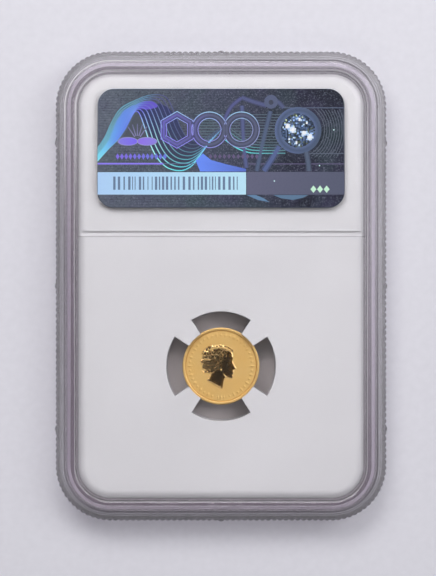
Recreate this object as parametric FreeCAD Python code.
"""Graded coin slab: two clear moulded shells welded together round a white gasket that holds one small gold coin.

Frame, in millimetres: the slab lies flat with its rear face up. +Z points out of the rear face, +Y towards the
label end and +X to the right as the rear face is seen. The origin is at the centre of the foot ring's plane.
Each separate physical piece is one STEP file in parts/.
"""

import math
import os

import FreeCAD
import Part

V = FreeCAD.Vector
Z_AXIS = V(0, 0, 1)

# ---- driving dimensions: the slab ----
SLAB_WIDTH = 60.2
SLAB_LENGTH = 85.4
SLAB_THICKNESS = 7.9
CORNER_RADIUS = 10.0
WALL = 1.3  # nominal moulded wall

# ---- heights above the foot plane ----
PARTING_Z = SLAB_THICKNESS / 2
SHOULDER_Z = 6.35  # rear shoulder, where the next slab's foot stands
REAR_WINDOW_Z = 7.0  # outer face of the rear window
REAR_INNER_Z = REAR_WINDOW_Z - WALL
FRONT_WINDOW_Z = 0.8  # outer face of the front window
FRONT_INNER_Z = FRONT_WINDOW_Z + WALL + 0.1
STACK_GROOVE_Z = 1.65  # ceiling of the front groove that takes the next slab's rim

# ---- distances inwards from the tips of the edge ribs ----
WALL_INSET = 0.45  # smooth outer wall behind the ribs
STEP_INSET = 1.4
RIM_OUTER_INSET = 2.0
RIM_INNER_INSET = 3.45
WINDOW_INSET = 3.95  # foot of the rim's inner slope
CAVITY_INSET = 4.1
PLATE_INSET = 4.9  # where the ring section ends and the flat window plate begins
CHANNEL_INSETS = (1.75, 2.85)  # hollow channel under the stacking rim
EDGE_ROUND = 0.15  # small moulded radii

# ---- ribbed grip round the edge ----
RIB_COUNT = 256
RIB_HEIGHT = 0.3
RIB_BAND = (1.2, 6.1)  # lowest and highest point of the ribs
LUG_RADIUS = 0.8
LUG_PROUD = 0.15
LUG_SPACING = 26.0  # along the long sides

# ---- tongue, groove and weld ----
GROOVE_INSETS = (0.85, 1.35)
GROOVE_DEPTH = 0.75
TONGUE_CLEARANCE = 0.05
WELD_HEIGHT = 0.1
WELD_WIDTH = 0.3

# ---- gasket, coin chamber and divider ----
FIT_GAP = 0.05
GASKET_EDGE_ROUND = 1.4
DIVIDER_Y = 9.5
RIB_WIDTH = 0.8  # the divider rib on each shell
RIB_DEPTH = 0.35
CHAMBER_CENTRE_Y = -14.6
CHAMBER_RADIUS = 10.0
PRONG_ROOT_WIDTH = 4.5
PRONG_TIP_WIDTH = 2.8
PRONG_OVERLAP = 0.12  # how far each prong's lips reach over the coin
PRONG_ANGLES = (45, 135, 225, 315)

# ---- coin ----
COIN_RADIUS = 7.05
COIN_RIM_THICKNESS = 0.95
COIN_RIM_WIDTH = 0.65
COIN_FIELD_THICKNESS = 0.47
COIN_EDGE_ROUND = 0.08
COIN_GAP = 0.02

# ---- labels ----
HOLOGRAM_SIZE = (45.0, 21.8)
HOLOGRAM_CENTRE_Y = 25.1
HOLOGRAM_RADIUS = 3.0
HOLOGRAM_THICKNESS = 0.12
HOLOGRAM_RECESS = 0.1
LABEL_SIZE = (47.0, 23.0)
LABEL_CENTRE_Y = 24.2
LABEL_RADIUS = 1.5
LABEL_THICKNESS = 0.3
LABEL_GAP = 0.1

# ---- moulded pips on the rear rim's inner edge, at the coin end ----
PIP_RADIUS = 0.17
PIP_PITCH = 0.85
PIP_ROWS = ((-12.2, 2), (8.6, 9))  # first pip's x and how many


# ---------- outlines ----------
def corner_centres():
    """Centres of the four corner arcs, counter-clockwise from +X +Y, each with its arc's start angle."""
    x = SLAB_WIDTH / 2 - CORNER_RADIUS
    y = SLAB_LENGTH / 2 - CORNER_RADIUS
    return [(V(x, y, 0), 0), (V(-x, y, 0), 90), (V(-x, -y, 0), 180), (V(x, -y, 0), 270)]


def direction(degrees):
    angle = math.radians(degrees)
    return V(math.cos(angle), math.sin(angle), 0)


def rounded_wire(width, length, radius, z, centre_y=0.0):
    """Closed rounded rectangle at height z."""
    x = width / 2 - radius
    y = length / 2 - radius
    centres = [(V(sx * x, centre_y + sy * y, z), start) for sx, sy, start in
               ((1, 1, 0), (-1, 1, 90), (-1, -1, 180), (1, -1, 270))]
    edges = []
    for index, (centre, start) in enumerate(centres):
        arc = [centre + direction(start + turn) * radius for turn in (0, 45, 90)]
        edges.append(Part.Arc(*arc).toShape())
        following = centres[(index + 1) % 4][0] + direction(start + 90) * radius
        edges.append(Part.LineSegment(arc[2], following).toShape())
    return Part.Wire(edges)


def rounded_prism(width, length, radius, low, high, centre_y=0.0):
    face = Part.Face(rounded_wire(width, length, radius, low, centre_y))
    return face.extrude(V(0, 0, high - low))


def inset_prism(inset, low, high):
    """Prism of the slab's outline moved inwards by inset."""
    return rounded_prism(SLAB_WIDTH - 2 * inset, SLAB_LENGTH - 2 * inset, CORNER_RADIUS - inset, low, high)


def outline_point(distance, outwards):
    """Point on the slab's outline, moved outwards, at a distance run counter-clockwise from the first corner arc."""
    arc_length = CORNER_RADIUS * math.pi / 2
    centres = corner_centres()
    for index, (centre, start) in enumerate(centres):
        if distance <= arc_length:
            turn = start + math.degrees(distance / CORNER_RADIUS)
            return centre + direction(turn) * (CORNER_RADIUS + outwards)
        distance -= arc_length
        run = centres[(index + 1) % 4][0] - centre
        if distance <= run.Length:
            share = run * (distance / run.Length)
            return centre + share + direction(start + 90) * (CORNER_RADIUS + outwards)
        distance -= run.Length
    return centres[0][0] + direction(0) * (CORNER_RADIUS + outwards)


def ribbed_prism(low, high):
    """Prism whose side is a row of small convex ribs, their tips on the slab's outline."""
    straights = 2 * (SLAB_WIDTH + SLAB_LENGTH - 4 * CORNER_RADIUS)
    pitch = (straights + 2 * math.pi * CORNER_RADIUS) / RIB_COUNT
    edges = []
    valley = outline_point(0, -RIB_HEIGHT)
    first = valley
    for index in range(RIB_COUNT):
        tip = outline_point((index + 0.5) * pitch, 0)
        last = index == RIB_COUNT - 1
        following = first if last else outline_point((index + 1) * pitch, -RIB_HEIGHT)
        edges.append(Part.Arc(valley, tip, following).toShape())
        valley = following
    face = Part.Face(Part.Wire(edges))
    face.translate(V(0, 0, low))
    return face.extrude(V(0, 0, high - low))


# ---------- a section carried round the slab's outline ----------
def section_face(points, centre, angle):
    """Closed section given as (inset, z) points, standing on the outline at one end of a corner arc."""
    radial = direction(angle)
    corners = [centre + radial * (CORNER_RADIUS - inset) + Z_AXIS * z for inset, z in points]
    return Part.Face(Part.makePolygon(corners + corners[:1]))


def ring(points):
    """The section swept all round: a quarter turn at each corner and a straight run along each side."""
    pieces = []
    centres = corner_centres()
    for index, (centre, start) in enumerate(centres):
        pieces.append(section_face(points, centre, start).revolve(centre, Z_AXIS, 90))
        run = centres[(index + 1) % 4][0] - centre
        pieces.append(section_face(points, centre, start + 90).extrude(run))
    return pieces[0].multiFuse(pieces[1:]).removeSplitter()


def softened(points, radius=EDGE_ROUND):
    """Cuts each marked corner of a section by a two-segment round. A point is (inset, z) or (inset, z, True)."""
    result = []
    for index, point in enumerate(points):
        if len(point) == 2:
            result.append(point)
            continue
        here = V(point[0], point[1], 0)
        before = V(*points[index - 1][:2], 0) - here
        after = V(*points[(index + 1) % len(points)][:2], 0) - here
        start = here + before.normalize() * radius
        end = here + after.normalize() * radius
        middle = here * 0.4 + (start + end) * 0.3
        result.extend((p.x, p.y) for p in (start, middle, end))
    return result


# ---------- shared details of the two shells ----------
def lugs(low, high):
    """Half-round lugs that break the ribs: three on each long side and one on each end."""
    offset = LUG_RADIUS - LUG_PROUD
    side_x = SLAB_WIDTH / 2 - offset
    end_y = SLAB_LENGTH / 2 - offset
    places = [(side * side_x, step * LUG_SPACING) for side in (-1, 1) for step in (-1, 0, 1)]
    places += [(0, side * end_y) for side in (-1, 1)]
    return [Part.makeCylinder(LUG_RADIUS, high - low, V(x, y, low)) for x, y in places]


def divider(width, low, high, inset):
    """Bar across the slab between the label chamber and the coin chamber."""
    half = SLAB_WIDTH / 2 - inset
    return Part.makeBox(2 * half, width, high - low, V(-half, DIVIDER_Y - width / 2, low))


def pips():
    """Two rows of tiny domes along the inner edge of the rear rim."""
    y = -(SLAB_LENGTH / 2 - RIM_INNER_INSET - 0.1)
    z = SLAB_THICKNESS - 0.3
    return [Part.makeSphere(PIP_RADIUS, V(x + index * PIP_PITCH, y, z))
            for x, count in PIP_ROWS for index in range(count)]


# ---------- the pieces ----------
def rear_shell():
    groove_top = PARTING_Z + GROOVE_DEPTH
    channel_top = SHOULDER_Z + 0.2
    section = softened([
        (WALL_INSET, PARTING_Z),
        (WALL_INSET, SHOULDER_Z, True),
        (STEP_INSET, SHOULDER_Z),
        (STEP_INSET + 0.05, REAR_WINDOW_Z, True),
        (RIM_OUTER_INSET, REAR_WINDOW_Z),
        (RIM_OUTER_INSET + 0.05, SLAB_THICKNESS, True),
        (RIM_INNER_INSET, SLAB_THICKNESS, True),
        (WINDOW_INSET - 0.15, REAR_WINDOW_Z + 0.15),
        (WINDOW_INSET, REAR_WINDOW_Z + 0.03),
        (WINDOW_INSET + 0.2, REAR_WINDOW_Z),
        (PLATE_INSET, REAR_WINDOW_Z),
        (PLATE_INSET, REAR_INNER_Z),
        (CAVITY_INSET, REAR_INNER_Z),
        (CAVITY_INSET, PARTING_Z),
        (CHANNEL_INSETS[1], PARTING_Z),
        (CHANNEL_INSETS[1] - 0.05, channel_top, True),
        (CHANNEL_INSETS[0] + 0.05, channel_top, True),
        (CHANNEL_INSETS[0], PARTING_Z),
        (GROOVE_INSETS[1], PARTING_Z),
        (GROOVE_INSETS[1], groove_top),
        (GROOVE_INSETS[0], groove_top),
        (GROOVE_INSETS[0], PARTING_Z),
    ])
    band = ribbed_prism(PARTING_Z, RIB_BAND[1]).cut(inset_prism(GROOVE_INSETS[0] - 0.2, 0, SLAB_THICKNESS))
    plate = inset_prism(PLATE_INSET, REAR_INNER_Z, REAR_WINDOW_Z)
    bar = divider(RIB_WIDTH, REAR_INNER_Z - RIB_DEPTH, REAR_INNER_Z, CAVITY_INSET)
    hub = inset_prism(GROOVE_INSETS[0] - 0.1, 0, SLAB_THICKNESS)
    outer_lugs = [lug.cut(hub) for lug in lugs(PARTING_Z, RIB_BAND[1])]
    body = ring(section).multiFuse([band, plate, bar] + outer_lugs + pips())
    width, length = (size + 0.2 for size in HOLOGRAM_SIZE)
    recess = rounded_prism(width, length, HOLOGRAM_RADIUS + 0.1, REAR_WINDOW_Z - HOLOGRAM_RECESS,
                           SLAB_THICKNESS, HOLOGRAM_CENTRE_Y)
    return body.cut(recess).removeSplitter()


def front_shell():
    tongue_outer, tongue_inner = (GROOVE_INSETS[0] + TONGUE_CLEARANCE, GROOVE_INSETS[1] - TONGUE_CLEARANCE)
    tongue_top = PARTING_Z + GROOVE_DEPTH - WELD_HEIGHT
    channel_floor = STACK_GROOVE_Z + WALL
    foot_step_z = REAR_WINDOW_Z - SHOULDER_Z + 0.05
    section = softened([
        (WALL_INSET, PARTING_Z),
        (WALL_INSET, 0, True),
        (STEP_INSET - 0.05, 0, True),
        (STEP_INSET, foot_step_z),
        (RIM_OUTER_INSET - 0.1, foot_step_z, True),
        (RIM_OUTER_INSET - 0.05, STACK_GROOVE_Z),
        (RIM_INNER_INSET + 0.15, STACK_GROOVE_Z),
        (WINDOW_INSET + 0.15, FRONT_WINDOW_Z, True),
        (PLATE_INSET, FRONT_WINDOW_Z),
        (PLATE_INSET, FRONT_INNER_Z),
        (CAVITY_INSET, FRONT_INNER_Z),
        (CAVITY_INSET, PARTING_Z),
        (CHANNEL_INSETS[1], PARTING_Z),
        (CHANNEL_INSETS[1] - 0.05, channel_floor, True),
        (CHANNEL_INSETS[0] + 0.05, channel_floor, True),
        (CHANNEL_INSETS[0], PARTING_Z),
        (tongue_inner, PARTING_Z),
        (tongue_inner, tongue_top),
        (tongue_outer, tongue_top),
        (tongue_outer, PARTING_Z),
    ])
    band = ribbed_prism(RIB_BAND[0], PARTING_Z).cut(inset_prism(GROOVE_INSETS[0] - 0.2, 0, SLAB_THICKNESS))
    plate = inset_prism(PLATE_INSET, FRONT_WINDOW_Z, FRONT_INNER_Z)
    bar = divider(RIB_WIDTH, FRONT_INNER_Z, FRONT_INNER_Z + RIB_DEPTH, CAVITY_INSET)
    hub = inset_prism(GROOVE_INSETS[0] - 0.1, 0, SLAB_THICKNESS)
    outer_lugs = [lug.cut(hub) for lug in lugs(RIB_BAND[0], PARTING_Z)]
    return ring(section).multiFuse([band, plate, bar] + outer_lugs).removeSplitter()


def weld_bead():
    """Ring of fused plastic between the front shell's tongue and the floor of the rear shell's groove."""
    middle = sum(GROOVE_INSETS) / 2
    top = PARTING_Z + GROOVE_DEPTH
    outer, inner = middle - WELD_WIDTH / 2, middle + WELD_WIDTH / 2
    return ring([(outer, top - WELD_HEIGHT), (inner, top - WELD_HEIGHT), (inner, top), (outer, top)])


def prong(low, high, tip_radius):
    """One tapered prong from outside the chamber wall in towards the coin, before it is trimmed by the tip circle."""
    root_x = CHAMBER_RADIUS + 0.4
    half_root, half_tip = PRONG_ROOT_WIDTH / 2, PRONG_TIP_WIDTH / 2
    tip_x = tip_radius - 0.6
    outline = [V(tip_x, -half_tip, low), V(root_x, -half_root, low), V(root_x, half_root, low), V(tip_x, half_tip, low)]
    blank = Part.Face(Part.makePolygon(outline + outline[:1])).extrude(V(0, 0, high - low))
    return blank.cut(Part.makeCylinder(tip_radius, high - low, V(0, 0, low)))


def coin_gasket():
    low, high = FRONT_INNER_Z + FIT_GAP, REAR_INNER_Z - FIT_GAP
    inset = CAVITY_INSET + FIT_GAP
    slab = inset_prism(inset, low, high)
    rims = [edge for edge in slab.Edges if abs(edge.BoundBox.ZLength) < 1e-6]
    slab = slab.makeFillet(GASKET_EDGE_ROUND, rims)
    chamber_centre = V(0, CHAMBER_CENTRE_Y, 0)
    slab = slab.cut(Part.makeCylinder(CHAMBER_RADIUS, high - low, V(0, CHAMBER_CENTRE_Y, low)))
    prongs = []
    for angle in PRONG_ANGLES:
        arm = prong(low, high, COIN_RADIUS - PRONG_OVERLAP)
        arm.rotate(V(0, 0, 0), Z_AXIS, angle)
        arm.translate(chamber_centre)
        prongs.append(arm)
    body = slab.multiFuse(prongs)
    seat_low = PARTING_Z - COIN_RIM_THICKNESS / 2 - COIN_GAP
    seat_height = COIN_RIM_THICKNESS + 2 * COIN_GAP
    seat = Part.makeCylinder(COIN_RADIUS + COIN_GAP, seat_height, V(0, CHAMBER_CENTRE_Y, seat_low))
    slot = RIB_WIDTH + 4 * FIT_GAP
    depth = RIB_DEPTH + FIT_GAP
    rear_slot = divider(slot, high - depth, high, 0)
    front_slot = divider(slot, low, low + depth, 0)
    width, length = (size + 2 * LABEL_GAP for size in LABEL_SIZE)
    pocket = rounded_prism(width, length, LABEL_RADIUS + LABEL_GAP, low, low + LABEL_THICKNESS + FIT_GAP, LABEL_CENTRE_Y)
    return body.cut([seat, rear_slot, front_slot, pocket]).removeSplitter()


def coin():
    """Struck blank: raised rim on both faces, fields below it, a small radius on the edge."""
    half_rim, half_field = COIN_RIM_THICKNESS / 2, COIN_FIELD_THICKNESS / 2
    rim_foot = COIN_RADIUS - COIN_RIM_WIDTH
    half = [
        (0, half_field),
        (rim_foot, half_field),
        (rim_foot + 0.1, half_rim - 0.04),
        (rim_foot + 0.16, half_rim),
        (COIN_RADIUS - COIN_EDGE_ROUND, half_rim),
        (COIN_RADIUS, half_rim - COIN_EDGE_ROUND),
    ]
    profile = [V(r, 0, z) for r, z in half] + [V(r, 0, -z) for r, z in reversed(half)]
    face = Part.Face(Part.makePolygon(profile + profile[:1]))
    solid = face.revolve(V(0, 0, 0), Z_AXIS, 360)
    solid.translate(V(0, CHAMBER_CENTRE_Y, PARTING_Z))
    return solid


def hologram_label():
    low = REAR_WINDOW_Z - HOLOGRAM_RECESS
    return rounded_prism(*HOLOGRAM_SIZE, HOLOGRAM_RADIUS, low, low + HOLOGRAM_THICKNESS, HOLOGRAM_CENTRE_Y)


def certification_label():
    low = FRONT_INNER_Z + FIT_GAP
    return rounded_prism(*LABEL_SIZE, LABEL_RADIUS, low, low + LABEL_THICKNESS, LABEL_CENTRE_Y)


PIECES = {
    "rear_shell": rear_shell,
    "front_shell": front_shell,
    "weld_bead": weld_bead,
    "coin_gasket": coin_gasket,
    "coin": coin,
    "hologram_label": hologram_label,
    "certification_label": certification_label,
}


def main():
    os.makedirs("parts", exist_ok=True)
    for name, make in PIECES.items():
        shape = make()
        shape.exportStep(f"parts/{name}.step")
        print(f"{name}: {len(shape.Solids)} solid, valid {shape.isValid()}, {shape.Volume:.1f} mm3")


main()
